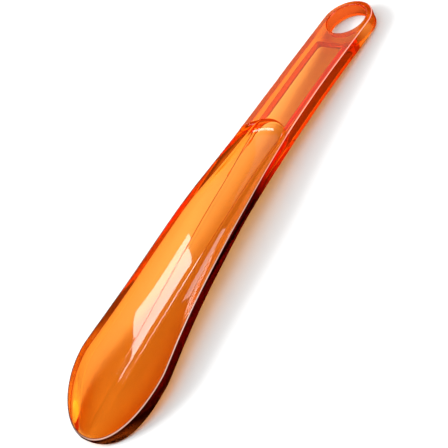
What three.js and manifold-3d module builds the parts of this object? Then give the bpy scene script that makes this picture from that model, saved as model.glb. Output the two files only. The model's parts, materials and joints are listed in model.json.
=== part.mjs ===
// A one-piece shoehorn in clear orange plastic, in millimetres.
//
// The shape is worked out in a design frame: x runs from the blade's tip towards the end of the
// handle, y is sideways, z is up, and z = 0 is the flat front face of the handle. At the end the
// part is tipped into the pose in which it lies on a table, hollow side up: +X towards the handle's
// end, +Z up, origin under the middle of its box.

import * as THREE from 'three';
import * as BufferGeometryUtils from 'three/addons/utils/BufferGeometryUtils.js';
import Module from 'manifold-3d';

// Driving dimensions.
const LENGTH = 230;
const HANDLE_WIDTH = 24.5;
const HANDLE_THICKNESS = 6.5;
const HOLE_DIAMETER = 18.5;
const BLADE_WIDTH = 47.6;
const TIP_LENGTH = 32;            // the rounded tip is half an ellipse, this long
const SHELL_THICKNESS = 2.4;      // the blade, along its floor
const PLATE_THICKNESS = 2.6;      // the handle's front plate, over the hollow in its back
const HOLLOW_WIDTH = 16;          // that hollow, open at the back
const HOLLOW_END = 203.5;
const SCOOP_START = 154.7;        // where the trough begins in the handle's front face
const SCOOP_RADIUS = 12.1;        // the curved edge of that start, seen from the front
const SCOOP_LENGTH = 7;           // how far the trough takes to reach its full depth
const FLANK_SLOPE = 0.35;         // share of a flank's rise that is straight; the rest curves up

// How the blade changes along its length: [x, value], joined by a smooth curve.
const HALF_WIDTH = [[20, 23.7], [32, 23.8], [40, 22.8], [48, 21.6], [65, 19.6], [90, 17.7], [110, 16.3],
  [130, 14.4], [150, 13], [175, 12.25]];
const RIM_HEIGHT = [[0, -20.8], [25, -15.9], [50, -11.3], [75, -7.4], [100, -4.2], [120, -2.6],
  [145, -1.3], [165, -0.5], [185, 0]];
const FLOOR_DEPTH = [[0, 3.2], [15, 3.8], [35, 4.7], [60, 5.2], [80, 5.2], [100, 4.8], [120, 4],
  [140, 3], [155, 2.6]];
const FLOOR_HALF_WIDTH = [[0, 2.6], [35, 3.2], [70, 4.5], [105, 5.6], [125, 6.1], [140, 7.2],
  [155, 8.1]];
const RIM_THICKNESS = [[0, 6.3], [15, 6.2], [30, 5.6], [55, 5.4], [75, 5.1], [95, 4.9], [110, 4.5]];
const RIM_POWER = 3.2;            // how quickly the blade thickens towards its rim
const RIM_FULL_AT = 0.75;         // round the tip the rim is this thick only where it is this wide

// The handle's side walls reach down to this height.
const WALL_FOOT = [[105, -7.9], [130, -7.9], [150, -7.6], [170, -7.1], [190, -6.6],
  [205, -HANDLE_THICKNESS]];

// Meshing.
const MARGIN = 1.5;               // how far the surfaces run past the outline that trims them
const BLADE_STEP = 5;
const FLOOR_COLUMNS = 4;
const FLANK_COLUMNS = 7;
const HOLE_SEGMENTS = 48;
const END_SEGMENTS = 25;          // odd, so that each round end finishes on a facet, not on a corner
const WARP_REACH = 18;            // stations bend with the scoop's edge this far to either side

const RING_X = LENGTH - HANDLE_WIDTH / 2;
const FRAME_START = 100;          // forward of here the handle's side walls have run into the blade

const { Manifold, Mesh } = await loadManifold();

async function loadManifold() {
  const wasm = await Module();
  wasm.setup();
  return wasm;
}

// ---- Profiles ------------------------------------------------------------------------------

// The value at x of a smooth curve through the stations, level beyond its two ends.
function along(stations, x) {
  const last = stations.length - 1;
  if (x <= stations[0][0]) return stations[0][1];
  if (x >= stations[last][0]) return stations[last][1];
  const i = stations.findIndex(([at]) => at > x) - 1;
  const [x0, v0] = stations[i];
  const [x1, v1] = stations[i + 1];
  const span = x1 - x0;
  const t = (x - x0) / span;
  const m0 = slopeAt(stations, i) * span;
  const m1 = slopeAt(stations, i + 1) * span;
  return v0 + t * (m0 + t * (3 * (v1 - v0) - 2 * m0 - m1 + t * (m0 + m1 - 2 * (v1 - v0))));
}

function slopeAt(stations, i) {
  const before = stations[Math.max(i - 1, 0)];
  const after = stations[Math.min(i + 1, stations.length - 1)];
  return (after[1] - before[1]) / (after[0] - before[0]);
}

// Half the width of the sheet that the blade is cut from; the outline rounds it off at the tip.
function sheetHalfWidth(x) {
  return along(HALF_WIDTH, x);
}

// 0 at the scoop's edge, rising steeply and then levelling off to 1.
function scoopShare(x, y) {
  const past = SCOOP_START - (y * y) / (2 * SCOOP_RADIUS) - x;
  const t = THREE.MathUtils.clamp(past / SCOOP_LENGTH, 0, 1);
  return Math.sqrt(1 - (1 - t) ** 2);
}

// 0 on the trough's flat floor, 1 at the rim.
function flankShare(x, y) {
  const floor = along(FLOOR_HALF_WIDTH, x);
  return Math.max(0, (Math.abs(y) - floor) / (sheetHalfWidth(x) - floor));
}

function frontHeight(x, y) {
  const q = flankShare(x, y);
  const rise = FLANK_SLOPE * q + (1 - FLANK_SLOPE) * q * q;
  return along(RIM_HEIGHT, x) - along(FLOOR_DEPTH, x) * (1 - rise) * scoopShare(x, y);
}

// 0 over most of the blade, rising to 1 along its rim, but not at the very tip.
function rimShare(x, y) {
  const lengthwise = Math.max(0, TIP_LENGTH - x) / TIP_LENGTH;
  const across = Math.abs(y) / sheetHalfWidth(x);
  const reach = Math.hypot(lengthwise, across);
  return reach ** RIM_POWER * THREE.MathUtils.smoothstep(across, 0, RIM_FULL_AT);
}

function backHeight(x, y) {
  const blade = THREE.MathUtils.lerp(SHELL_THICKNESS, along(RIM_THICKNESS, x), rimShare(x, y));
  const thickness = THREE.MathUtils.lerp(PLATE_THICKNESS, blade, scoopShare(x, y));
  return frontHeight(x, y) - thickness;
}

// ---- Solids --------------------------------------------------------------------------------

function toSolid(geometry) {
  const bare = new THREE.BufferGeometry();
  bare.setAttribute('position', geometry.getAttribute('position'));
  bare.setIndex(geometry.getIndex());
  const merged = BufferGeometryUtils.mergeVertices(bare, 1e-4);
  return new Manifold(new Mesh({
    numProp: 3,
    vertProperties: new Float32Array(merged.getAttribute('position').array),
    triVerts: new Uint32Array(merged.getIndex().array),
  }));
}

function toGeometry(solid) {
  const mesh = solid.getMesh();
  const geometry = new THREE.BufferGeometry();
  geometry.setAttribute('position', new THREE.BufferAttribute(mesh.vertProperties, 3));
  geometry.setIndex(new THREE.BufferAttribute(mesh.triVerts, 1));
  geometry.computeVertexNormals();
  return geometry;
}

function box(x0, x1, halfWidth, z0, z1) {
  const geometry = new THREE.BoxGeometry(x1 - x0, 2 * halfWidth, z1 - z0);
  geometry.translate((x0 + x1) / 2, 0, (z0 + z1) / 2);
  return toSolid(geometry);
}

// Where the rows of the mesh cross the centre line: close together at the scoop.
function stations() {
  const rows = [];
  for (let x = -MARGIN; x < SCOOP_START - 3 * SCOOP_LENGTH; x += BLADE_STEP) rows.push(x);
  const steps = [2.2, 1.5, 1, 0.65, 0.4, 0.2, 0.06, 0, -0.8, -1.6, -2.6, -4.2];
  for (const step of steps) rows.push(SCOOP_START - step * SCOOP_LENGTH);
  rows.push(HOLLOW_END, LENGTH + MARGIN);
  return rows;
}

// The mesh's columns at a row: even steps across the floor and each flank, then the margin.
function columns(x) {
  const floor = along(FLOOR_HALF_WIDTH, x);
  const rim = sheetHalfWidth(x);
  const half = [];
  for (let i = 0; i <= FLOOR_COLUMNS / 2; i += 1) half.push((floor * i) / (FLOOR_COLUMNS / 2));
  for (let i = 1; i <= FLANK_COLUMNS; i += 1) half.push(floor + ((rim - floor) * i) / FLANK_COLUMNS);
  half.push(rim + MARGIN);
  const mirrored = half.slice(1).reverse().map((y) => -y);
  return [...mirrored, ...half];
}

// Near the scoop the rows bend, so that one of them is the scoop's edge.
function bentRow(x, y) {
  const away = Math.abs(x - SCOOP_START + SCOOP_LENGTH / 2) - SCOOP_LENGTH / 2 - 0.5;
  const share = 1 - THREE.MathUtils.clamp(away / WARP_REACH, 0, 1);
  return x - (share * y * y) / (2 * SCOOP_RADIUS);
}

// The closed body between two heights given over the rows and columns.
function between(topOf, bottomOf) {
  const rows = stations();
  const across = columns(0).length;
  const layer = rows.length * across;
  const positions = [];
  for (const heightOf of [topOf, bottomOf]) {
    for (const row of rows) {
      for (const y of columns(row)) {
        const x = bentRow(row, y);
        positions.push(x, y, heightOf(x, y));
      }
    }
  }
  const index = [];
  const quad = (a, b, c, d) => index.push(a, b, c, a, c, d);
  for (let i = 0; i < rows.length - 1; i += 1) {
    for (let j = 0; j < across - 1; j += 1) {
      const a = i * across + j;
      quad(a, a + across, a + across + 1, a + 1);
      quad(layer + a, layer + a + 1, layer + a + across + 1, layer + a + across);
    }
    const right = i * across;
    const left = right + across - 1;
    quad(layer + right, layer + right + across, right + across, right);
    quad(left, left + across, layer + left + across, layer + left);
  }
  for (let j = 0; j < across - 1; j += 1) {
    const end = (rows.length - 1) * across + j;
    quad(layer + j, j, j + 1, layer + j + 1);
    quad(end, layer + end, layer + end + 1, end + 1);
  }
  const geometry = new THREE.BufferGeometry();
  geometry.setAttribute('position', new THREE.Float32BufferAttribute(positions, 3));
  geometry.setIndex(index);
  return toSolid(geometry);
}

// Half an ellipse about (x, 0), counterclockwise from the angle given.
function halfRound(shape, x, radiusX, radiusY, from) {
  for (let i = 0; i <= END_SEGMENTS; i += 1) {
    const turn = from + (Math.PI * i) / END_SEGMENTS;
    shape.lineTo(x + radiusX * Math.cos(turn), radiusY * Math.sin(turn));
  }
}

// The outline seen from the front, with the hang hole: round tip, swelling blade, straight handle
// and a round end about the hole.
function outline() {
  const shape = new THREE.Shape();
  shape.moveTo(TIP_LENGTH, BLADE_WIDTH / 2);
  halfRound(shape, TIP_LENGTH, TIP_LENGTH, BLADE_WIDTH / 2, Math.PI / 2);
  for (let x = TIP_LENGTH + BLADE_STEP; x < RING_X; x += BLADE_STEP) shape.lineTo(x, -sheetHalfWidth(x));
  halfRound(shape, RING_X, HANDLE_WIDTH / 2, HANDLE_WIDTH / 2, -Math.PI / 2);
  for (let x = RING_X - BLADE_STEP; x > TIP_LENGTH; x -= BLADE_STEP) shape.lineTo(x, sheetHalfWidth(x));
  const hole = new THREE.Path();
  hole.absarc(RING_X, 0, HOLE_DIAMETER / 2, 0, 2 * Math.PI, true);
  shape.holes.push(hole);
  return shape;
}

function outlineSolid() {
  const reach = 60;
  const geometry = new THREE.ExtrudeGeometry(outline(), {
    depth: 2 * reach, bevelEnabled: false, curveSegments: HOLE_SEGMENTS / 2,
  });
  geometry.translate(0, 0, -reach);
  return toSolid(geometry);
}

// The handle's full-depth side walls and solid end, up to the middle of the plate that joins them.
function sideWalls() {
  const middle = (x, y) => (frontHeight(x, y) + backHeight(x, y)) / 2;
  const slab = between(middle, (x) => along(WALL_FOOT, x));
  const handle = box(FRAME_START, LENGTH + MARGIN / 2, HANDLE_WIDTH, -2 * HANDLE_THICKNESS, 1);
  const hollow = box(FRAME_START - 1, HOLLOW_END, HOLLOW_WIDTH / 2, -2 * HANDLE_THICKNESS, 2);
  return slab.intersect(handle).subtract(hollow);
}

// ---- The part ------------------------------------------------------------------------------

// The tilt at which the handle's end and the lowest point of the blade touch the table together.
function restTilt(geometry) {
  const position = geometry.getAttribute('position');
  let slope = 0;
  for (let i = 0; i < position.count; i += 1) {
    const run = LENGTH - position.getX(i);
    if (run > HANDLE_WIDTH) slope = Math.max(slope, (-HANDLE_THICKNESS - position.getZ(i)) / run);
  }
  return Math.atan(slope);
}

function shoehorn() {
  const plate = between(frontHeight, backHeight);
  const solid = plate.add(sideWalls()).intersect(outlineSolid());
  const geometry = toGeometry(solid);
  const material = new THREE.MeshStandardMaterial({ color: 0xf07814, roughness: 0.08, metalness: 0 });
  const mesh = new THREE.Mesh(geometry, material);
  mesh.name = 'shoehorn_body';
  mesh.rotation.y = restTilt(geometry);
  return mesh;
}

const part = new THREE.Group();
part.add(shoehorn());
part.updateMatrixWorld(true);
const bounds = new THREE.Box3().setFromObject(part, true);
part.position.set(-(bounds.min.x + bounds.max.x) / 2, 0, -bounds.min.z);

export default part;
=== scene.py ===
"""The looks of a one-piece shoehorn in clear orange plastic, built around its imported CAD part.

The visible surface is one closed mesh. It follows the driving dimensions and profiles of the CAD
part, but it is finer and has the small edge radii of a real moulding.

Shapes are worked out in millimetres in the part's design frame: x runs from the blade's tip towards
the end of the handle, y is sideways, z is up, and z = 0 is the flat front face of the handle.
placement() takes that frame to the shared one, where the shoehorn lies on a table.
"""

import json
import math

import bmesh
import bpy
import numpy as np
from mathutils import Matrix, Vector


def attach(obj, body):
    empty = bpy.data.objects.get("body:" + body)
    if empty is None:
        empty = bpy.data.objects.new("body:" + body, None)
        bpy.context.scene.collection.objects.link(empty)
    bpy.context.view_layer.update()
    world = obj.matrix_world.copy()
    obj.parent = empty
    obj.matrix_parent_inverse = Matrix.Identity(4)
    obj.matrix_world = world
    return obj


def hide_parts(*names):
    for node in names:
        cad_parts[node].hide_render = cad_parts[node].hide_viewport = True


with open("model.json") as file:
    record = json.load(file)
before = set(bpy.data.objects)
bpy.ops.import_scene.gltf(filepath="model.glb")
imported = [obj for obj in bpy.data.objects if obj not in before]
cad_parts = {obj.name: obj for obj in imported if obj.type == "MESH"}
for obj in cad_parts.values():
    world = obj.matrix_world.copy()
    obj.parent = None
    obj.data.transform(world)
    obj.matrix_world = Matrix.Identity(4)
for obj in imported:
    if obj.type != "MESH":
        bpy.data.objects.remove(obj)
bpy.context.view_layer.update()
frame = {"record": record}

MM = 0.001

# Driving dimensions, as in the CAD part.
LENGTH = 230
HANDLE_WIDTH = 24.5
HANDLE_THICKNESS = 6.5
HOLE_DIAMETER = 18.5
TIP_LENGTH = 32
SHELL_THICKNESS = 2.4
PLATE_THICKNESS = 2.6
HOLLOW_WIDTH = 16
HOLLOW_END = 203.5
SCOOP_START = 154.7
SCOOP_RADIUS = 12.1
SCOOP_LENGTH = 7
FLANK_SLOPE = 0.35
HALF_WIDTH = [[20, 23.7], [32, 23.8], [40, 22.8], [48, 21.6], [65, 19.6], [90, 17.7], [110, 16.3],
              [130, 14.4], [150, 13], [175, 12.25]]
RIM_HEIGHT = [[0, -20.8], [25, -15.9], [50, -11.3], [75, -7.4], [100, -4.2], [120, -2.6],
              [145, -1.3], [165, -0.5], [185, 0]]
FLOOR_DEPTH = [[0, 3.2], [15, 3.8], [35, 4.7], [60, 5.2], [80, 5.2], [100, 4.8], [120, 4],
               [140, 3], [155, 2.6]]
FLOOR_HALF_WIDTH = [[0, 2.6], [35, 3.2], [70, 4.5], [105, 5.6], [125, 6.1], [140, 7.2], [155, 8.1]]
RIM_THICKNESS = [[0, 6.3], [15, 6.2], [30, 5.6], [55, 5.4], [75, 5.1], [95, 4.9], [110, 4.5]]
RIM_POWER = 3.2
RIM_FULL_AT = 0.75
WALL_FOOT = [[105, -7.9], [130, -7.9], [150, -7.6], [170, -7.1], [190, -6.6],
             [205, -HANDLE_THICKNESS]]

RING_X = LENGTH - HANDLE_WIDTH / 2
BACK_POINT_X = 206            # where the record's mount on the handle's back lies

# The moulding's small radii and soft forms.
EDGE_RADIUS = [[0, 0.8], [70, 0.8], [140, 0.6]]
HOLE_EDGE_RADIUS = 0.6
SCOOP_EDGE_RADIUS = 0.3
SCOOP_EDGE_ANGLE = 70         # degrees that this radius turns before it meets the steep wall
CREASE_SOFTNESS = 0.5         # width of the small groove along each crease
CREASE_DEPTH = 0.07
FLOOR_HOLLOW = 0.12           # the blade's floor isn't quite flat from side to side
WALL_DRAFT = 0.3
HOLLOW_CORNER_RADIUS = 1.6
BELLY_BLEND = 0.9             # where the side walls run into the blade's underside
BACK_SCOOP_LEAD = 2.5         # the underside follows the scoop this much earlier and more gently

# Rows of the mesh, which run across the part.
CORE_X = BACK_POINT_X         # the ring's mesh starts here
TIP_ROWS = 25
BLADE_ROWS = 100
HANDLE_ROWS = 26
SCOOP_EDGE_ROWS = 7
SCOOP_WALL_STEP = 4           # degrees between rows down the scoop's wall
SCOOP_LEAD_ROWS = np.array([0.1, 0.5, 1.2, 2.2, 3.4, 5])    # distances from the scoop's edge
WARP_REACH = 18               # how far from the scoop its curve still bends the rows
ROW_ROUNDS = 8                # rounds in which a bent row's end settles

# Columns of the mesh, counted from the centre line to the rim.
COLUMNS = 30
FLOOR_COLUMNS = 8             # the front's crease starts here and takes three columns
BACK_INNER_COLUMNS = 4        # the back's close group starts here
BACK_CREASE_COLUMN = 11       # the line of that group that follows the crease round the tip
# The close group: distances inside the hollow's outline at which the back has a line, the x over
# which the group moves from the crease to the wall, and how far it is spread out along x.
GROUP_OFFSETS = np.array([2.4, 1.6, 1.1, 0.75, 0.5, 0.35, 0.22, 0.1, 0, -0.1, -0.22, -0.35, -0.55,
                          -0.9])
GROUP_ON_WALL = (100, 128)
GROUP_SPREAD = [[28, 60, 128], [0.9, 1.5, 1]]

# Steps round the small forms.
SIDE_STEPS = 8
RING_SIDE_STEPS = 8
RING_ARC_STEPS = 61
RING_FACE_STEPS = 5


# ---- Profiles -------------------------------------------------------------------------------

def along(stations, x):
    """The value at x of a smooth curve through the stations, level beyond its two ends."""
    xs, values = np.array(stations, float).T
    last = len(xs) - 1
    before = np.maximum(np.arange(last + 1) - 1, 0)
    after = np.minimum(np.arange(last + 1) + 1, last)
    slopes = (values[after] - values[before]) / (xs[after] - xs[before])
    i = np.clip(np.searchsorted(xs, x, side="right") - 1, 0, last - 1)
    span = xs[i + 1] - xs[i]
    t = np.clip((x - xs[i]) / span, 0, 1)
    m0, m1 = slopes[i] * span, slopes[i + 1] * span
    rise = values[i + 1] - values[i]
    return values[i] + t * (m0 + t * (3 * rise - 2 * m0 - m1 + t * (m0 + m1 - 2 * rise)))


def smooth_step(low, high, value):
    t = np.clip((value - low) / (high - low), 0, 1)
    return t * t * (3 - 2 * t)


def soft_min(a, b, reach):
    h = np.clip(0.5 + 0.5 * (b - a) / reach, 0, 1)
    return b + (a - b) * h - reach * h * (1 - h)


def past_scoop(x, y):
    """How far a point lies past the scoop's edge, towards the tip."""
    return SCOOP_START - y * y / (2 * SCOOP_RADIUS) - x


def scoop_edge():
    """Where the scoop's small edge meets its steep wall: (distance past the edge, share, angle)."""
    depth = float(along(FLOOR_DEPTH, SCOOP_START))
    angle = math.radians(SCOOP_EDGE_ANGLE)
    share = SCOOP_EDGE_RADIUS * (1 - math.cos(angle)) / depth
    past = SCOOP_LENGTH * (1 - math.sqrt(1 - share * share))
    return past, share, angle


def front_scoop_share(x, y):
    """0 on the handle, then over a small radius down a steep wall that levels off to 1."""
    meet, share, angle = scoop_edge()
    past = past_scoop(x, y)
    t = np.clip(past / SCOOP_LENGTH, 0, 1)
    wall = np.sqrt(1 - (1 - t) ** 2)
    start = meet - SCOOP_EDGE_RADIUS * math.sin(angle)
    sine = np.clip((past - start) / SCOOP_EDGE_RADIUS, 0, math.sin(angle))
    edge = share * (1 - np.sqrt(1 - sine * sine)) / (1 - math.cos(angle))
    return np.where(past < meet, edge, wall)


def back_scoop_share(x, y):
    return smooth_step(-BACK_SCOOP_LEAD, SCOOP_LENGTH, past_scoop(x, y))


def flank_share(x, y):
    floor = along(FLOOR_HALF_WIDTH, x)
    return np.maximum(0, (np.abs(y) - floor) / (along(HALF_WIDTH, x) - floor))


def dished(x, y, scoop_share):
    q = flank_share(x, y)
    rise = FLANK_SLOPE * q + (1 - FLANK_SLOPE) * q * q
    return along(RIM_HEIGHT, x) - along(FLOOR_DEPTH, x) * (1 - rise) * scoop_share


def front_height(x, y):
    share = front_scoop_share(x, y)
    from_crease = np.abs(np.abs(y) - along(FLOOR_HALF_WIDTH, x))
    groove = CREASE_DEPTH * np.maximum(0, 1 - 2 * from_crease / CREASE_SOFTNESS)
    across = np.minimum(1, np.abs(y) / along(FLOOR_HALF_WIDTH, x))
    hollow = FLOOR_HOLLOW * (1 - across * across)
    return dished(x, y, share) - (groove + hollow) * share


def rim_share(x, y):
    """0 over most of the blade, rising to 1 along its rim, but not at the very tip."""
    lengthwise = np.maximum(0, TIP_LENGTH - x) / TIP_LENGTH
    across = np.abs(y) / along(HALF_WIDTH, x)
    return np.hypot(lengthwise, across) ** RIM_POWER * smooth_step(0, RIM_FULL_AT, across)


def shell_back(x, y):
    share = back_scoop_share(x, y)
    rim = along(RIM_THICKNESS, x)
    blade = SHELL_THICKNESS + (rim - SHELL_THICKNESS) * rim_share(x, y)
    return dished(x, y, share) - (PLATE_THICKNESS + (blade - PLATE_THICKNESS) * share)


def hollow_depth_in(x, y):
    """Distance inside the hollow's outline, a long rectangle with rounded corners at its end."""
    a = HOLLOW_END - x
    b = HOLLOW_WIDTH / 2 - np.abs(y)
    r = HOLLOW_CORNER_RADIUS
    corner = r - np.hypot(np.maximum(r - a, 0), np.maximum(r - b, 0))
    return np.where(np.maximum(a, b) < r, corner, np.minimum(a, b))


def back_height(x, y):
    inside = smooth_step(-WALL_DRAFT, WALL_DRAFT, hollow_depth_in(x, y))
    shell = shell_back(x, y)
    walls = soft_min(along(WALL_FOOT, x), shell, BELLY_BLEND)
    return walls + (shell - walls) * inside


# ---- Mesh patches -----------------------------------------------------------------------------

# Places in the list that patches() gives.
FRONT_PATCHES = (0, 2)
BACK_PATCH = 1
RING_PATCH = 4
HOLE_PATCH = 6
SIDE_PATCH = 7


def rim_line(x):
    """Half width and outward normal (x, y) of the outline's +y side, and the edge radius."""
    step = 0.01
    slope = (along(HALF_WIDTH, x + step) - along(HALF_WIDTH, x - step)) / (2 * step)
    size = np.hypot(slope, 1)
    return along(HALF_WIDTH, x), -slope / size, 1 / size, along(EDGE_RADIUS, x)


def inset_half_width(x):
    half, _, ny, radius = rim_line(x)
    return half - radius / ny


def bent(row, y):
    """The x of a row at y: near the scoop the rows bend, so that they follow its edge."""
    away = np.abs(row - SCOOP_START + SCOOP_LENGTH / 2) - SCOOP_LENGTH / 2 - 0.5
    share = 1 - np.clip(away / WARP_REACH, 0, 1)
    return row - share * y * y / (2 * SCOOP_RADIUS)


def on_row(row, width_of):
    """The y at which a bent row meets a line that is given as a half width at each x."""
    y = width_of(row)
    for _ in range(ROW_ROUNDS):
        y = width_of(bent(row, y))
    return y


def row_stations():
    """Where the rows cross the centre line, closer together where the surface turns quickly.

    The bare numbers are gaps between one group of rows and the next.
    """
    meet, _, angle = scoop_edge()
    turn = np.radians(np.arange(SCOOP_WALL_STEP, 91, SCOOP_WALL_STEP))
    wall = SCOOP_START - SCOOP_LENGTH * (1 - np.cos(turn))
    bend = np.linspace(0, angle, SCOOP_EDGE_ROWS)
    edge = SCOOP_START - meet + SCOOP_EDGE_RADIUS * (math.sin(angle) - np.sin(bend))
    lead = edge.max() + SCOOP_LEAD_ROWS
    blade = np.linspace(TIP_LENGTH, SCOOP_START - SCOOP_LENGTH - 0.8, BLADE_ROWS)
    wall = wall[wall < edge.min() - 0.02]
    end = HOLLOW_END - GROUP_OFFSETS
    handle = np.linspace(lead.max() + 2, end.min() - 1.5, HANDLE_ROWS)
    rows = np.concatenate([blade, wall, edge, lead, handle, end, [CORE_X]])
    return np.unique(np.round(rows, 5))


def top_half(rows):
    """Half columns of the front at each row: even across the floor, a crease, then the flank."""
    floor = on_row(rows, lambda x: along(FLOOR_HALF_WIDTH, x))[:, None]
    rim = on_row(rows, inset_half_width)[:, None]
    soft = CREASE_SOFTNESS / 2
    inner = np.linspace(0, 1, FLOOR_COLUMNS + 1)[:-1] * (floor - soft)
    crease = floor + np.array([-soft, 0, soft])
    left = COLUMNS - FLOOR_COLUMNS - 2
    outer = floor + soft + np.linspace(0, 1, left)[1:] * (rim - floor - soft)
    return np.hstack([inner, crease, outer])


def bottom_half(rows):
    """Half columns of the back: a close group at the hollow's wall, or round the blade's crease."""
    blend = smooth_step(*GROUP_ON_WALL, rows)[:, None]
    crease = along(FLOOR_HALF_WIDTH, rows)[:, None]
    middle = crease + (HOLLOW_WIDTH / 2 - crease) * blend
    spread = np.interp(rows, *GROUP_SPREAD)[:, None]
    group = middle - GROUP_OFFSETS * spread
    rim = on_row(rows, inset_half_width)[:, None]
    inner = np.linspace(0, 1, BACK_INNER_COLUMNS + 1)[:-1] * group[:, :1]
    left = COLUMNS + 1 - BACK_INNER_COLUMNS - len(GROUP_OFFSETS)
    outer = group[:, -1:] + np.linspace(0, 1, left)[1:] * (rim - group[:, -1:])
    return np.hstack([inner, group, outer])


def mirrored(half):
    """Both halves of each row, from -y to +y."""
    return np.hstack([-half[:, :0:-1], half])


def round_corners(x, y):
    """Bends the mesh lines near the hollow's end so that they follow its rounded corners."""
    r = HOLLOW_CORNER_RADIUS
    a = HOLLOW_END - x
    b = HOLLOW_WIDTH / 2 - np.abs(y)
    low, high = np.minimum(a, b), np.maximum(a, b)
    radius = r - low
    swing = math.pi / 4 * (high - low) / np.maximum(radius, 1e-9)
    near = radius * np.cos(math.pi / 4 - swing)
    far = radius * np.sin(math.pi / 4 - swing)
    share = np.where(high < r, smooth_step(HOLLOW_END - CORE_X, GROUP_OFFSETS[-1], low), 0)
    a = a + share * (r - np.where(a < b, near, far) - a)
    b = b + share * (r - np.where(a < b, far, near) - b)
    return HOLLOW_END - a, np.sign(y) * (HOLLOW_WIDTH / 2 - b)


def main_patch(rows, half, height_of, adjust=None):
    y = mirrored(half)
    x = bent(rows[:, None], y)
    if adjust:
        x, y = adjust(x, y)
    return np.dstack([x, y, height_of(x, y)])


def tip_patch(first_row, height_of, crease_of):
    """The rounded tip: a grid squeezed into half an ellipse, with a column along the crease.

    first_row holds the y of its columns at the base.
    """
    rim = first_row[-1]
    length = TIP_LENGTH - float(along(EDGE_RADIUS, 0))
    xi = np.linspace(0, 1, TIP_ROWS)[:, None]
    eta = (first_row / rim)[None, :]
    x = TIP_LENGTH - length * xi * np.sqrt(1 - eta * eta / 2)
    y = rim * eta * np.sqrt(1 - xi * xi / 2)
    edge = np.abs(y[:, -1:])
    start = np.abs(y)[:, [crease_of]]
    want = along(FLOOR_HALF_WIDTH, x[:, [crease_of]])
    inner = np.abs(y) * want / start
    outer = want + (np.abs(y) - start) * (edge - want) / (edge - start)
    y = np.sign(y) * np.where(np.abs(y) < start, inner, outer)
    return np.dstack([x, y, height_of(x, y)])


def ring_outline():
    """The ring's outline inside its small edge: (x, y, nx, ny), from the -y side round to +y."""
    half = HANDLE_WIDTH / 2
    inset = half - float(along(EDGE_RADIUS, LENGTH))
    side = np.linspace(CORE_X, RING_X, RING_SIDE_STEPS)[1:-1]
    turn = np.radians(np.linspace(-90, 90, RING_ARC_STEPS))
    arc = np.column_stack([RING_X + inset * np.cos(turn), inset * np.sin(turn), np.cos(turn),
                           np.sin(turn)])
    near = np.column_stack([side, np.full_like(side, -inset), 0 * side, 0 * side - 1])
    far = near[::-1] * [1, -1, 1, -1]
    return np.vstack([near, arc, far])


def ring_patch(outline, last_row, hole_angles, height):
    """The flat face between the outline and the hole's small edge."""
    split = np.column_stack([np.full_like(last_row, CORE_X), last_row[::-1]])
    outer = np.vstack([outline[:, :2], split, outline[:1, :2]])
    reach = HOLE_DIAMETER / 2 + HOLE_EDGE_RADIUS
    inner = np.column_stack([RING_X + reach * np.cos(hole_angles), reach * np.sin(hole_angles)])
    share = np.linspace(0, 1, RING_FACE_STEPS)[None, :, None]
    plan = outer[:, None, :] * (1 - share) + inner[:, None, :] * share
    return np.dstack([plan, np.full(plan.shape[:2], height)])


def hole_patch(hole_angles):
    """The hole's wall with its two small edges."""
    turn = np.radians(np.linspace(0, 90, SIDE_STEPS))
    out = HOLE_EDGE_RADIUS * (1 - np.sin(turn))
    drop = HOLE_EDGE_RADIUS * (1 - np.cos(turn))
    radius = HOLE_DIAMETER / 2 + np.concatenate([out, out[::-1]])
    z = np.concatenate([-drop, -HANDLE_THICKNESS + drop[::-1]])
    x = RING_X + radius * np.cos(hole_angles)[:, None]
    y = radius * np.sin(hole_angles)[:, None]
    return np.dstack([x, y, np.broadcast_to(z, x.shape)])


def small_edge(loop, height_of, sign):
    """One small edge, from a face out to the side. loop holds (x, y, nx, ny) on the face."""
    x, y, nx, ny = loop.T
    radius = along(EDGE_RADIUS, x)[:, None]
    turn = np.radians(np.linspace(0, 90, SIDE_STEPS))[None, :]
    out = radius * np.sin(turn)
    drop = radius * (1 - np.cos(turn))
    step = 0.02
    slope = (height_of(x, y) - height_of(x - step * nx, y - step * ny)) / step
    z = height_of(x, y)[:, None] + slope[:, None] * out + sign * drop
    return np.dstack([x[:, None] + nx[:, None] * out, y[:, None] + ny[:, None] * out, z])


def edge_patch(top_loop, bottom_loop):
    """The side of the part with its two small edges."""
    top = small_edge(top_loop, front_height, -1)
    bottom = small_edge(bottom_loop, back_height, 1)
    return np.hstack([top, bottom[:, ::-1]])


def outline_loop(main, tip_grid, ring):
    """The whole closed outline inside the small edge, counterclockwise seen from the front."""
    _, nx, ny, _ = rim_line(main[:, -1, 0])
    far = np.column_stack([main[:, -1, 0], main[:, -1, 1], nx, ny])
    near = far * [1, -1, 1, -1]
    tip = np.vstack([tip_grid[1:, -1], tip_grid[-1, -2:0:-1], tip_grid[:0:-1, 0]])[:, :2]
    squares = np.array([tip_grid[0, 0, 0] - tip_grid[:, :, 0].min(), tip_grid[0, -1, 1]]) ** 2
    normal = (tip - [TIP_LENGTH, 0]) / squares
    normal /= np.linalg.norm(normal, axis=1)[:, None]
    return np.vstack([near, ring, far[::-1], np.hstack([tip, normal]), near[:1]])


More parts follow.
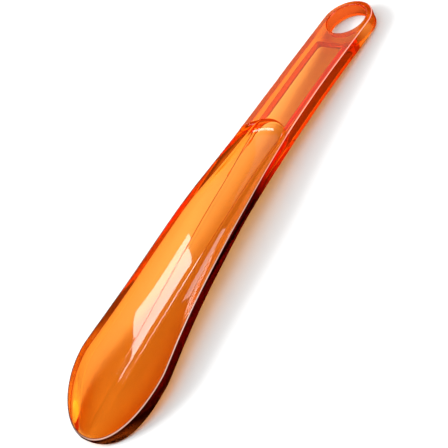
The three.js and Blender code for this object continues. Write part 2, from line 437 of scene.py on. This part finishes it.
def patches():
    """Every patch as (grid of points, whether its faces turn the other way).

    FRONT_PATCHES and the names after it say which is which.
    """
    rows = row_stations()
    top, bottom = top_half(rows), bottom_half(rows)
    top_main = main_patch(rows, top, front_height)
    bottom_main = main_patch(rows, bottom, back_height, round_corners)
    top_tip = tip_patch(mirrored(top)[0], front_height, COLUMNS + FLOOR_COLUMNS)
    bottom_tip = tip_patch(mirrored(bottom)[0], back_height, COLUMNS + BACK_CREASE_COLUMN)
    ring = ring_outline()
    last = top_main[-1, :, 1]
    outer_y = np.concatenate([ring[:, 1], last[::-1], ring[:1, 1]])
    outer_x = np.concatenate([ring[:, 0], np.full_like(last, CORE_X), ring[:1, 0]])
    angles = np.unwrap(np.arctan2(outer_y, outer_x - RING_X))
    top_loop = outline_loop(top_main, top_tip, ring)
    bottom_loop = outline_loop(bottom_main, bottom_tip, ring)
    return [
        (top_main, False), (bottom_main, True),
        (top_tip, True), (bottom_tip, False),
        (ring_patch(ring, last, angles, 0.0), False),
        (ring_patch(ring, bottom_main[-1, :, 1], angles, -HANDLE_THICKNESS), True),
        (hole_patch(angles), False),
        (edge_patch(top_loop, bottom_loop), True),
    ]


def placement():
    """Design frame to shared frame, from the record's mount on the flat back of the handle."""
    mount = next(m for m in frame["record"]["mounts"] if m["name"] == "handle_back")
    axis = Vector(mount["axis"])
    turn = Matrix.Rotation(math.atan2(-axis.x, -axis.z), 4, "Y")
    known = turn @ (Vector((BACK_POINT_X, 0, -HANDLE_THICKNESS)) * MM)
    return Matrix.Translation(Vector(mount["pos_m"]) - known) @ turn


def weighted_normals(mesh):
    """Normals weighted by face area, so that flat faces stay flat beside the small radii."""
    count = len(mesh.vertices)
    points = np.empty(count * 3)
    mesh.vertices.foreach_get("co", points)
    points = points.reshape(-1, 3)
    mesh.calc_loop_triangles()
    triangles = np.empty(len(mesh.loop_triangles) * 3, np.int32)
    mesh.loop_triangles.foreach_get("vertices", triangles)
    triangles = triangles.reshape(-1, 3)
    a, b, c = (points[triangles[:, k]] for k in range(3))
    areas = np.cross(b - a, c - a)
    normals = np.zeros((count, 3))
    for k in range(3):
        np.add.at(normals, triangles[:, k], areas)
    return normals / np.linalg.norm(normals, axis=1)[:, None]


# ---- Painted shade and painted highlight ------------------------------------------------------

# Painted shade, which darkens the surface's tint: 0 on a flat face, 1 on the blade's sides.
RAIL_SHADE = 0.11
RAIL_BLEND = 1.2
FLANK_SHADE = 0.19
NECK_SHADE = 0.09
NECK_REACH = (65, 110)        # x over which the neck's painted shade comes in
HANDLE_SIDE_SHADE = 0.24
SIDE_FADE = (118, 150)        # x over which the blade's sides fade to the handle's
HOLE_SHADE = 0.3
HOLLOW_WALL_SHADE = 0.42
TALL_WALL = 3.0               # a wall of the hollow this high has its full painted shade

# The crease lines, painted shade: its amount in one column on each side, and x where they come and
# go.
CREASE_SHADES = {COLUMNS - FLOOR_COLUMNS - 2: 0.45, COLUMNS + FLOOR_COLUMNS: 0.8}
CREASE_FADE = (38, 60, 147, 152)

# A painted highlight: the pale line along the front's small edge, stronger on the -y side.
EDGE_COLUMNS = slice(2, 5)    # of the side patch, where column 0 is the edge of the front face
FAR_EDGE_SHARE = 0.3
EDGE_TURN = 8                 # its strength changes over this far on each side of the centre line


def painted_shades(grids):
    """Painted shade over each patch: how far the surface's tint is darkened.

    A value below zero darkens both sides of the surface, for the hollow's walls, which are seen
    from inside the plastic.
    """
    shades = [np.zeros(grid.shape[:2]) for grid in grids]
    for k in FRONT_PATCHES:
        x, y = grids[k][:, :, 0], grids[k][:, :, 1]
        # Painted shade on the neck, the blade's flanks and the handle's rails beside the hollow.
        neck = NECK_SHADE * np.interp(x, NECK_REACH, [0, 1])
        flank = FLANK_SHADE * np.minimum(1, flank_share(x, y))
        rail = RAIL_SHADE * smooth_step(0, RAIL_BLEND, -hollow_depth_in(x, y))
        share = front_scoop_share(x, y)
        shades[k] = np.maximum(neck, flank) * share + rail * (1 - share)
        # Painted shade: a thin dark line along each crease.
        line = np.interp(x, CREASE_FADE, [0, 1, 1, 0])
        for column, depth in CREASE_SHADES.items():
            shades[k][:, column] = depth * line[:, column]
    # Painted shade on the ring's face.
    shades[RING_PATCH][:] = RAIL_SHADE
    # Painted shade on the hollow's walls, fuller where they are tall.
    x, y = grids[BACK_PATCH][:, :, 0], grids[BACK_PATCH][:, :, 1]
    wall_height = np.clip(shell_back(x, y) - along(WALL_FOOT, x), 0, TALL_WALL) / TALL_WALL
    on_wall = np.abs(hollow_depth_in(x, y)) < WALL_DRAFT
    shades[BACK_PATCH] = -HOLLOW_WALL_SHADE * wall_height * on_wall
    # Painted shade in the hang hole.
    shades[HOLE_PATCH][:, 1:-1] = HOLE_SHADE
    # Painted shade on the part's sides, lighter on the handle.
    x = grids[SIDE_PATCH][:, 1:-1, 0]
    shades[SIDE_PATCH][:, 1:-1] = np.interp(x, SIDE_FADE, [1, HANDLE_SIDE_SHADE])
    return shades


def painted_edge_highlights(grids):
    """A painted highlight: a pale line of given-off light along the front's small edge."""
    lights = [np.zeros(grid.shape[:2]) for grid in grids]
    near = smooth_step(-EDGE_TURN, EDGE_TURN, -grids[SIDE_PATCH][:, EDGE_COLUMNS, 1])
    lights[SIDE_PATCH][:, EDGE_COLUMNS] = FAR_EDGE_SHARE + (1 - FAR_EDGE_SHARE) * near
    return lights


def shoehorn_mesh():
    """The whole moulding as one closed mesh in the shared frame, with its painted values."""
    bm = bmesh.new()
    shade_layer = bm.verts.layers.float.new("painted_shade")
    highlight_layer = bm.verts.layers.float.new("painted_edge_highlight")
    grids, turns = zip(*patches())
    painted = zip(grids, turns, painted_shades(grids), painted_edge_highlights(grids))
    for grid, turned, shades, lights in painted:
        verts = [[bm.verts.new(Vector(point) * MM) for point in line] for line in grid]
        # Each vertex stores its painted shade and painted highlight.
        for line, line_shades, line_lights in zip(verts, shades, lights):
            for vert, depth, light in zip(line, line_shades, line_lights):
                vert[shade_layer] = depth
                vert[highlight_layer] = light
        for i in range(len(verts) - 1):
            for j in range(len(verts[0]) - 1):
                quad = [verts[i][j], verts[i + 1][j], verts[i + 1][j + 1], verts[i][j + 1]]
                bm.faces.new(quad[::-1] if turned else quad)
    bmesh.ops.remove_doubles(bm, verts=bm.verts, dist=1e-6)
    bm.transform(placement())
    mesh = bpy.data.meshes.new("shoehorn_clear_moulding")
    bm.to_mesh(mesh)
    bm.free()
    mesh.shade_smooth()
    mesh.normals_split_custom_set_from_vertices(weighted_normals(mesh))
    return mesh


# ---- Material ---------------------------------------------------------------------------------

# Absorption per metre of clear orange plastic, for red, green and blue.
ABSORPTION = (12, 125, 390)
ABSORPTION_DENSITY = 400
REFRACTIVE_INDEX = 1.5

# The surface's tint at painted shade 0 (the plastic's own), HOLE_SHADE and 1.
FACE_COLOUR = (1, 0.65, 0.25, 1)
HOLE_SHADE_COLOUR = (0.5, 0.03, 0.01, 1)
SIDE_SHADE_COLOUR = (0.004, 0.0008, 0.001, 1)

# Painted light the surface gives off: a faint orange glow, and a painted pale highlight along the
# edge.
PAINTED_GLOW_COLOUR = (0.07, 0.014, 0.001, 1)
NO_GLOW = (0, 0, 0, 1)
EDGE_HIGHLIGHT_COLOUR = (0.8, 0.5, 0.4, 1)

# Wear and flow waves: noise scales per metre, drawn out along the part for scuffs and waves.
LONG_WAY = (0.12, 1, 1)
SCUFF_SCALE = 900
SCUFF_DETAIL = 3
RUBBED_SCALE = 45
RUBBED_DETAIL = 2
RUBBED_RANGE = (0.15, 0.5)
ROUGHNESS_RANGE = (0.012, 0.045)
FLOW_WAVE_SCALE = 60
FLOW_WAVE_DETAIL = 1
FLOW_WAVE_STRENGTH = 0.04
FLOW_WAVE_DISTANCE = 0.0002

FLOOR_COLOUR = (0.44, 0.44, 0.44, 1)
FLOOR_ROUGHNESS = 0.9
FLOOR_HALF_SIZE = 3.0


def math_node(tree, operation, *values):
    """The output of a Math node. Each value is a number or another node's output."""
    node = tree.nodes.new("ShaderNodeMath")
    node.operation = operation
    for socket, value in zip(node.inputs, values):
        if isinstance(value, bpy.types.NodeSocket):
            tree.links.new(value, socket)
        else:
            socket.default_value = value
    return node.outputs["Value"]


def noise_node(tree, place, scale, detail):
    node = tree.nodes.new("ShaderNodeTexNoise")
    node.inputs["Scale"].default_value = scale
    node.inputs["Detail"].default_value = detail
    tree.links.new(place, node.inputs["Vector"])
    return node.outputs["Fac"]


def painted_value(tree, name):
    """A value that shoehorn_mesh() stored on the vertices."""
    node = tree.nodes.new("ShaderNodeAttribute")
    node.attribute_name = name
    return node.outputs["Fac"]


def colour_mix(tree, share, a, b):
    """The output of a Mix node from colour a, or another node's output, to colour b."""
    node = tree.nodes.new("ShaderNodeMix")
    node.data_type = "RGBA"
    if isinstance(a, bpy.types.NodeSocket):
        tree.links.new(a, node.inputs["A"])
    else:
        node.inputs["A"].default_value = a
    node.inputs["B"].default_value = b
    tree.links.new(share, node.inputs["Factor"])
    return node.outputs["Result"]


def painted_side_shade(tree):
    """The surface's tint darkened by painted shade, and that shade's share where it faces outward.
    """
    depth = painted_value(tree, "painted_shade")
    geometry = tree.nodes.new("ShaderNodeNewGeometry")
    outside = math_node(tree, "SUBTRACT", 1, geometry.outputs["Backfacing"])
    share = math_node(tree, "MULTIPLY", depth, outside)
    both_sides = math_node(tree, "MULTIPLY", depth, -1)
    shade_amount = math_node(tree, "MAXIMUM", share, both_sides)
    ramp = tree.nodes.new("ShaderNodeValToRGB")
    ramp.color_ramp.elements[0].color = FACE_COLOUR
    ramp.color_ramp.elements[1].color = SIDE_SHADE_COLOUR
    ramp.color_ramp.elements.new(HOLE_SHADE).color = HOLE_SHADE_COLOUR
    tree.links.new(shade_amount, ramp.inputs["Fac"])
    return ramp.outputs["Color"], share


def surface_wear(tree, shader):
    """Faint flow waves from the moulding, and rubbed patches with fine lengthwise scuffs."""
    place = tree.nodes.new("ShaderNodeTexCoord").outputs["Object"]
    long_way = tree.nodes.new("ShaderNodeMapping")
    long_way.inputs["Scale"].default_value = LONG_WAY
    tree.links.new(place, long_way.inputs["Vector"])
    scuffs = noise_node(tree, long_way.outputs["Vector"], SCUFF_SCALE, SCUFF_DETAIL)
    rubbed = noise_node(tree, place, RUBBED_SCALE, RUBBED_DETAIL)
    roughness = tree.nodes.new("ShaderNodeMapRange")
    roughness.inputs["From Min"].default_value = RUBBED_RANGE[0]
    roughness.inputs["From Max"].default_value = RUBBED_RANGE[1]
    roughness.inputs["To Min"].default_value = ROUGHNESS_RANGE[0]
    roughness.inputs["To Max"].default_value = ROUGHNESS_RANGE[1]
    tree.links.new(math_node(tree, "MULTIPLY", scuffs, rubbed), roughness.inputs["Value"])
    tree.links.new(roughness.outputs["Result"], shader.inputs["Roughness"])
    bump = tree.nodes.new("ShaderNodeBump")
    bump.inputs["Strength"].default_value = FLOW_WAVE_STRENGTH
    bump.inputs["Distance"].default_value = FLOW_WAVE_DISTANCE
    waves = noise_node(tree, long_way.outputs["Vector"], FLOW_WAVE_SCALE, FLOW_WAVE_DETAIL)
    tree.links.new(waves, bump.inputs["Height"])
    tree.links.new(bump.outputs["Normal"], shader.inputs["Normal"])


def clear_plastic():
    """Clear orange plastic: tinted through its thickness, polished, with faint flow and scuffs."""
    material = bpy.data.materials.new("clear_orange_plastic")
    material.use_nodes = True
    tree = material.node_tree
    shader = tree.nodes["Principled BSDF"]
    # Painted shade darkens the plastic's tint.
    colour, shade_share = painted_side_shade(tree)
    tree.links.new(colour, shader.inputs["Base Color"])
    # Painted glow over the surface, left off where the painted side shade is.
    glow = colour_mix(tree, shade_share, PAINTED_GLOW_COLOUR, NO_GLOW)
    # Painted highlight: the pale line along the front's small edge.
    glow = colour_mix(tree, painted_value(tree, "painted_edge_highlight"), glow, EDGE_HIGHLIGHT_COLOUR)
    tree.links.new(glow, shader.inputs["Emission Color"])
    shader.inputs["Emission Strength"].default_value = 1
    shader.inputs["Transmission Weight"].default_value = 1
    shader.inputs["IOR"].default_value = REFRACTIVE_INDEX
    surface_wear(tree, shader)
    volume = tree.nodes.new("ShaderNodeVolumeAbsorption")
    clear = [1 - rate / ABSORPTION_DENSITY for rate in ABSORPTION]
    volume.inputs["Color"].default_value = (*clear, 1)
    volume.inputs["Density"].default_value = ABSORPTION_DENSITY
    tree.links.new(volume.outputs["Volume"], tree.nodes["Material Output"].inputs["Volume"])
    return material


def white_floor():
    material = bpy.data.materials.new("white_table")
    material.use_nodes = True
    shader = material.node_tree.nodes["Principled BSDF"]
    shader.inputs["Base Color"].default_value = FLOOR_COLOUR
    shader.inputs["Roughness"].default_value = FLOOR_ROUGHNESS
    shader.inputs["Specular IOR Level"].default_value = 0
    return material


# ---- Scene ------------------------------------------------------------------------------------

# The camera, in the part's design frame: millimetres and degrees, and the lens in millimetres.
CAMERA_AIM = (103.0, -5.5, -10.0)
CAMERA_DISTANCE = 537.8
CAMERA_AZIMUTH = 238.46
CAMERA_ELEVATION = 39.5
CAMERA_ROLL = -32.04
CAMERA_LENS = 104.5

# The lights, in the shared frame: angles in degrees and sizes in metres. The world is dark below
# one height of its direction, bright above another, and smooth between.
PANEL_DISTANCE = 2.0
PANEL_POWER = math.pi         # watts per square metre for a radiance of 1
WORLD_DARK_BELOW = 0.35
WORLD_BRIGHT_ABOVE = 0.85
WORLD_HORIZON = 0.02
WORLD_ZENITH = 3.1
KEY_AZIMUTH = 125
KEY_ELEVATION = 35
KEY_SIZE = (1.0, 1.0)
KEY_RADIANCE = 23

# Name, azimuth, elevation, size, radiance and roll of the panels that only show as reflections.
HIGHLIGHTS = [
    ("softbox", 71.2, 57.3, (0.26, 0.98), 10, 19),
    ("veil", 55, 33, (0.8, 0.5), 0.6, 0),
    ("low_strip", 75, 12, (0.2, 0.35), 2, 0),
    ("rim_strip", -66, 29, (1.25, 2.1), 2.5, 0),
    ("tip_strip", -150, 50, (0.5, 0.5), 4, 0),
]


def towards(azimuth, elevation):
    """The direction at two angles in radians."""
    return Vector((math.cos(elevation) * math.cos(azimuth), math.cos(elevation) * math.sin(azimuth),
                   math.sin(elevation)))


def place_camera():
    azimuth, elevation, roll = map(math.radians, (CAMERA_AZIMUTH, CAMERA_ELEVATION, CAMERA_ROLL))
    back = towards(azimuth, elevation)
    level = Vector((-math.sin(azimuth), math.cos(azimuth), 0))
    right = level * math.cos(roll) + back.cross(level) * math.sin(roll)
    turn = Matrix((right, back.cross(right), back)).transposed().to_4x4()
    spot = Matrix.Translation((Vector(CAMERA_AIM) + back * CAMERA_DISTANCE) * MM)
    data = bpy.data.cameras.new("camera")
    data.lens = CAMERA_LENS
    data.clip_start = 0.01
    camera = bpy.data.objects.new("camera", data)
    camera.matrix_world = placement() @ spot @ turn
    bpy.context.scene.collection.objects.link(camera)
    bpy.context.scene.camera = camera


def add_object(name, mesh, material):
    mesh.materials.append(material)
    obj = bpy.data.objects.new(name, mesh)
    bpy.context.scene.collection.objects.link(obj)
    return obj


def add_floor():
    half = FLOOR_HALF_SIZE
    mesh = bpy.data.meshes.new("floor")
    mesh.from_pydata([(-half, -half, 0), (half, -half, 0), (half, half, 0), (-half, half, 0)], [],
                     [(0, 1, 2, 3)])
    floor = add_object("floor", mesh, white_floor())
    floor.visible_glossy = False


def add_panel(name, azimuth, elevation, size, radiance, roll=0):
    """A soft rectangular light, aimed at the part."""
    out = towards(math.radians(azimuth), math.radians(elevation))
    data = bpy.data.lights.new(name, "AREA")
    data.shape = "RECTANGLE"
    data.size, data.size_y = size
    data.energy = radiance * PANEL_POWER * size[0] * size[1]
    light = bpy.data.objects.new(name, data)
    light.location = out * PANEL_DISTANCE
    aim = out.to_track_quat("Z", "Y").to_matrix()
    light.rotation_euler = (aim @ Matrix.Rotation(math.radians(roll), 3, "Z")).to_euler()
    bpy.context.scene.collection.objects.link(light)
    return light


def add_highlight(name, azimuth, elevation, size, radiance, roll):
    """A panel that only shows as a reflection in the plastic."""
    light = add_panel(name, azimuth, elevation, size, radiance, roll)
    light.visible_diffuse = False
    light.visible_transmission = False


def add_key(azimuth, elevation, size, radiance):
    """The light that casts the soft shadow. It isn't seen in the plastic."""
    light = add_panel("key", azimuth, elevation, size, radiance)
    light.visible_glossy = False
    light.visible_transmission = False


def set_world():
    """A pale studio: bright overhead, dark towards the horizon, and not mirrored by the plastic."""
    world = bpy.data.worlds.new("studio")
    world.use_nodes = True
    nodes, links = world.node_tree.nodes, world.node_tree.links
    direction = nodes.new("ShaderNodeTexCoord")
    split = nodes.new("ShaderNodeSeparateXYZ")
    links.new(direction.outputs["Generated"], split.inputs["Vector"])
    ramp = nodes.new("ShaderNodeMapRange")
    ramp.interpolation_type = "SMOOTHSTEP"
    ramp.inputs["From Min"].default_value = WORLD_DARK_BELOW
    ramp.inputs["From Max"].default_value = WORLD_BRIGHT_ABOVE
    ramp.inputs["To Min"].default_value = WORLD_HORIZON
    ramp.inputs["To Max"].default_value = WORLD_ZENITH
    links.new(split.outputs["Z"], ramp.inputs["Value"])
    links.new(ramp.outputs["Result"], nodes["Background"].inputs["Strength"])
    nodes["Background"].inputs["Color"].default_value = (1, 1, 1, 1)
    bpy.context.scene.world = world
    world.cycles_visibility.glossy = False


def light_studio():
    set_world()
    add_key(KEY_AZIMUTH, KEY_ELEVATION, KEY_SIZE, KEY_RADIANCE)
    for panel in HIGHLIGHTS:
        add_highlight(*panel)


def set_rendering():
    scene = bpy.context.scene
    scene.view_settings.view_transform = "Standard"
    scene.cycles.max_bounces = 32
    scene.cycles.transmission_bounces = 32
    scene.cycles.glossy_bounces = 16
    scene.cycles.diffuse_bounces = 6
    scene.cycles.use_denoising = True


place_camera()
add_floor()
body = add_object("shoehorn_moulding", shoehorn_mesh(), clear_plastic())
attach(body, "root")
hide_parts("shoehorn_body")
light_studio()
set_rendering()
